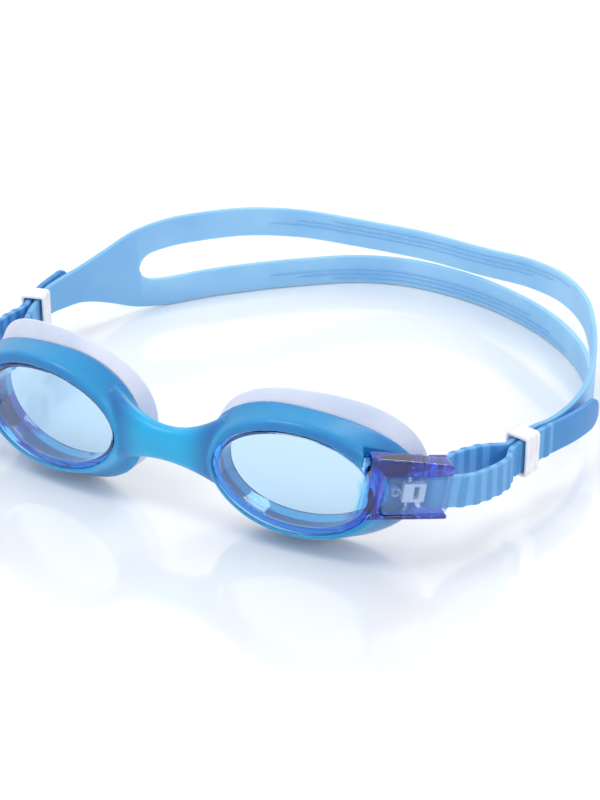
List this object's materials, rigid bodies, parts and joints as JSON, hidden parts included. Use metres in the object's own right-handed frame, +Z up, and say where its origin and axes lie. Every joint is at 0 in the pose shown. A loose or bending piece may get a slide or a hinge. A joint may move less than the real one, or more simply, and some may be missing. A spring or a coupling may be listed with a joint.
{
  "type": "swim goggles",
  "caption": "Soft-frame swim goggles with tinted lenses, buckles with release levers, keepers and a split strap.",
  "frame": {"origin": "on the ground, under the middle of the object's bounding box", "axes": "+X to the wearer's left, +Y to the back of the head, +Z up; the lenses face -Y"},
  "size_m": [0.1761, 0.1634, 0.043],
  "materials": {
    "frame_elastomer": "satin translucent elastomer",
    "tinted_lens": "polished tinted polycarbonate",
    "milky_silicone": "milky translucent silicone",
    "strap_silicone": "satin translucent silicone",
    "clear_plastic": "polished clear polycarbonate",
    "white_plastic": "semi-gloss moulded plastic",
    "steel": "bright drawn wire"
  },
  "bodies": {
    "goggles": {"frame": "frame_elastomer", "strap": "strap_silicone", "lens_right": "tinted_lens", "lens_left": "tinted_lens", "gasket_right": "milky_silicone", "gasket_left": "milky_silicone", "lever_pin_right": "steel", "lever_pin_left": "steel", "lever_spring_right": "steel", "lever_spring_left": "steel", "roller_axle_right": "steel", "roller_axle_left": "steel"},
    "lever_right": {"release_lever_right": "clear_plastic", "hinge_clip_right": "white_plastic"},
    "lever_left": {"release_lever_left": "clear_plastic", "hinge_clip_left": "white_plastic"},
    "roller_right": {"strap_roller_right": "white_plastic"},
    "roller_left": {"strap_roller_left": "white_plastic"},
    "keeper_right": {"keeper_right": "white_plastic"},
    "keeper_left": {"keeper_left": "white_plastic"}
  },
  "joints": [
    {"name": "press_lever_right", "type": "hinge", "parent": "goggles", "child": "lever_right", "pos_m": [0.06569, -0.07005, 0.02174], "axis": [-0.1067, -0.1037, -0.9889], "range_deg": [0, 8], "stiffness_Nm_per_rad": 0.02, "springref_deg": -5.73, "deforming": ["lever_spring_right"]},
    {"name": "press_lever_left", "type": "hinge", "parent": "goggles", "child": "lever_left", "pos_m": [-0.06499, -0.07005, 0.02174], "axis": [-0.1067, 0.1037, 0.9889], "range_deg": [0, 8], "stiffness_Nm_per_rad": 0.02, "springref_deg": -5.73, "deforming": ["lever_spring_left"]},
    {"name": "spin_roller_right", "type": "hinge", "parent": "goggles", "child": "roller_right", "pos_m": [0.06983, -0.06254, 0.0205], "axis": [0.1067, 0.1037, 0.9889], "continuous": true},
    {"name": "spin_roller_left", "type": "hinge", "parent": "goggles", "child": "roller_left", "pos_m": [-0.06913, -0.06254, 0.0205], "axis": [-0.1067, 0.1037, 0.9889], "continuous": true},
    {"name": "slide_keeper_right", "type": "slide", "parent": "goggles", "child": "keeper_right", "axis": [0.219, 0.9757, 0], "range_m": [-0.003, 0.003]},
    {"name": "slide_keeper_left", "type": "slide", "parent": "goggles", "child": "keeper_left", "axis": [-0.266, 0.964, 0], "range_m": [-0.003, 0.003]}
  ]
}
